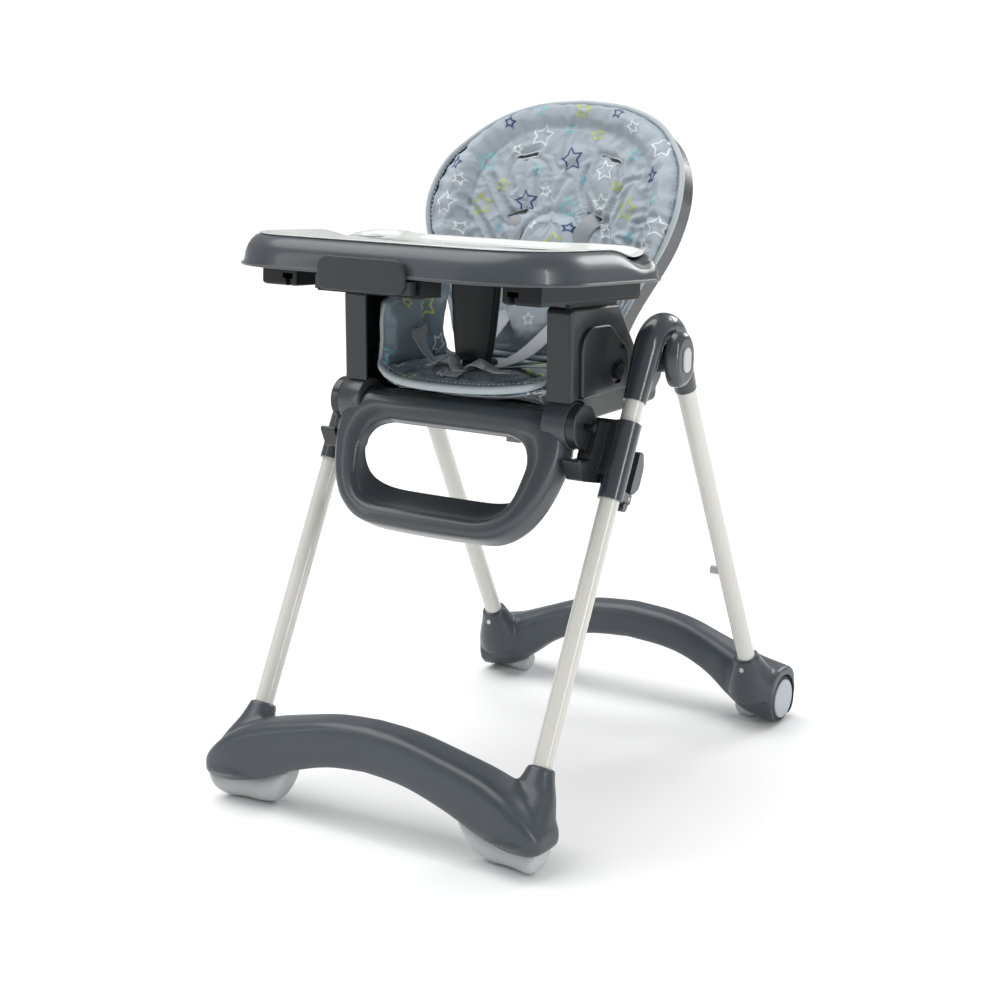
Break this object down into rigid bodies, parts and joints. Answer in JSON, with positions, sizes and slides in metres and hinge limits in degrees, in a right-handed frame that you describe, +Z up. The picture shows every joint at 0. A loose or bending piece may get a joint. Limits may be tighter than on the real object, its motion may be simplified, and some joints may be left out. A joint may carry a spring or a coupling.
{
  "type": "baby high chair",
  "caption": "Folding baby high chair with splayed tube legs, arched bases, reclining padded seat, leg rest and sliding removable tray.",
  "frame": {"origin": "on the floor under the middle of the frame: midway between the two outer side faces, and midway between the front of the front base and the back of the rear base", "axes": "+Z up; the child faces -Y; +X is to the right of a viewer who stands in front of the tray and looks at the child, and node names with _right are on the +X side"},
  "size_m": [0.6164, 0.867, 1.0539],
  "materials": {
    "frame_plastic": "satin",
    "dark_plastic": "satin",
    "tube_paint": "gloss",
    "pad_plastic": "satin",
    "insert_plastic": "satin",
    "tyre": "satin",
    "steel": "satin",
    "cover_fabric": "matte",
    "webbing": "matte",
    "buckle_plastic": "satin"
  },
  "bodies": {
    "front_frame": {"front_base": "frame_plastic", "front_base_screws": "steel", "front_tubes": "tube_paint", "hinge_pins": "steel", "front_foot_left": "pad_plastic", "front_foot_right": "pad_plastic", "front_shoulder_left": "dark_plastic", "front_shoulder_right": "dark_plastic", "hinge_cap_left": "dark_plastic", "hinge_cap_right": "dark_plastic"},
    "rear_frame": {"rear_base": "frame_plastic", "rear_base_screws": "steel", "rear_tubes": "tube_paint", "rear_feet": "pad_plastic", "tray_pegs": "pad_plastic", "wheel_axles": "steel", "rear_shoulder_left": "dark_plastic", "rear_shoulder_right": "dark_plastic"},
    "seat": {"seat_pan": "dark_plastic", "strap_anchors": "dark_plastic", "strap_tail": "webbing", "seat_cushion": "cover_fabric", "cushion_wings": "cover_fabric", "buckle": "buckle_plastic", "lap_straps": "webbing", "arm_rails": "dark_plastic", "lever_pins": "steel", "recline_pins": "steel", "leg_rest_pins": "steel", "side_screws": "steel", "sleeve_left": "dark_plastic", "sleeve_right": "dark_plastic", "sleeve_bracket_left": "dark_plastic", "sleeve_bracket_right": "dark_plastic", "side_panel_left": "dark_plastic", "side_panel_right": "dark_plastic", "side_trim_left": "dark_plastic", "side_trim_right": "dark_plastic"},
    "backrest": {"back_shell": "dark_plastic", "back_cushion": "cover_fabric", "recline_housing": "dark_plastic", "shoulder_straps": "webbing"},
    "recline_grip": {"recline_grip": "dark_plastic"},
    "leg_rest": {"leg_rest": "dark_plastic"},
    "tray": {"tray_body": "dark_plastic", "crotch_post": "dark_plastic", "release_guide": "dark_plastic", "tray_channels": "dark_plastic"},
    "tray_insert": {"tray_insert": "insert_plastic"},
    "tray_release": {"tray_release": "dark_plastic"},
    "wheel_left": {"wheel_left": "tyre", "wheel_cap_left": "pad_plastic"},
    "fold_button_left": {"fold_button_left": "pad_plastic"},
    "height_lever_left": {"height_lever_left": "dark_plastic"},
    "lock_pin_left": {"lock_pin_left": "steel"},
    "wheel_right": {"wheel_right": "tyre", "wheel_cap_right": "pad_plastic"},
    "fold_button_right": {"fold_button_right": "pad_plastic"},
    "height_lever_right": {"height_lever_right": "dark_plastic"},
    "lock_pin_right": {"lock_pin_right": "steel"}
  },
  "joints": [
    {"name": "fold_hinge", "type": "hinge", "parent": "front_frame", "child": "rear_frame", "pos_m": [0, 0.003, 0.688], "axis": [-1, 0, 0], "range_deg": [0, 44]},
    {"name": "seat_height", "type": "slide", "parent": "front_frame", "child": "seat", "axis": [0, 0.4587, 0.8886], "range_m": [-0.23, 0.03]},
    {"name": "recline", "type": "hinge", "parent": "seat", "child": "backrest", "pos_m": [0, 0.062, 0.625], "axis": [-1, 0, 0], "range_deg": [0, 26]},
    {"name": "recline_release", "type": "slide", "parent": "backrest", "child": "recline_grip", "axis": [0, 0.3746, 0.9272], "range_m": [0, 0.01], "stiffness_N_per_m": 600, "springref_m": -0.002},
    {"name": "leg_rest_hinge", "type": "hinge", "parent": "seat", "child": "leg_rest", "pos_m": [0, -0.16, 0.604], "axis": [-1, 0, 0], "range_deg": [-20, 58]},
    {"name": "tray_slide", "type": "slide", "parent": "seat", "child": "tray", "axis": [0, -0.9977, 0.068], "range_m": [-0.02, 0.3]},
    {"name": "tray_insert_lift", "type": "slide", "parent": "tray", "child": "tray_insert", "axis": [0, 0.068, 0.9977], "range_m": [0, 0.2]},
    {"name": "tray_release_pull", "type": "slide", "parent": "tray", "child": "tray_release", "axis": [0, -0.9977, 0.068], "range_m": [0, 0.01], "stiffness_N_per_m": 800, "springref_m": -0.002},
    {"name": "wheel_spin_left", "type": "hinge", "parent": "rear_frame", "child": "wheel_left", "pos_m": [-0.288, 0.388, 0.043], "axis": [1, 0, 0], "continuous": true},
    {"name": "fold_button_press_left", "type": "slide", "parent": "front_frame", "child": "fold_button_left", "axis": [1, 0, 0], "range_m": [0, 0.005], "stiffness_N_per_m": 800, "springref_m": -0.002},
    {"name": "height_lever_squeeze_left", "type": "hinge", "parent": "seat", "child": "height_lever_left", "pos_m": [-0.258, -0.11341, 0.49299], "axis": [-1, 0, 0], "range_deg": [0, 12], "stiffness_Nm_per_rad": 0.6, "springref_deg": -5.73},
    {"name": "lock_pin_draw_left", "type": "slide", "parent": "seat", "child": "lock_pin_left", "axis": [0, 0.8886, -0.4587], "range_m": [0, 0.0035]},
    {"name": "wheel_spin_right", "type": "hinge", "parent": "rear_frame", "child": "wheel_right", "pos_m": [0.288, 0.388, 0.043], "axis": [1, 0, 0], "continuous": true},
    {"name": "fold_button_press_right", "type": "slide", "parent": "front_frame", "child": "fold_button_right", "axis": [-1, 0, 0], "range_m": [0, 0.005], "stiffness_N_per_m": 800, "springref_m": -0.002},
    {"name": "height_lever_squeeze_right", "type": "hinge", "parent": "seat", "child": "height_lever_right", "pos_m": [0.258, -0.11341, 0.49299], "axis": [-1, 0, 0], "range_deg": [0, 12], "stiffness_Nm_per_rad": 0.6, "springref_deg": -5.73},
    {"name": "lock_pin_draw_right", "type": "slide", "parent": "seat", "child": "lock_pin_right", "axis": [0, 0.8886, -0.4587], "range_m": [0, 0.0035]}
  ],
  "couplings": [
    {"joint": "lock_pin_draw_left", "follows": "height_lever_squeeze_left", "m_per_rad": 0.0143},
    {"joint": "lock_pin_draw_right", "follows": "height_lever_squeeze_right", "m_per_rad": 0.0143}
  ]
}
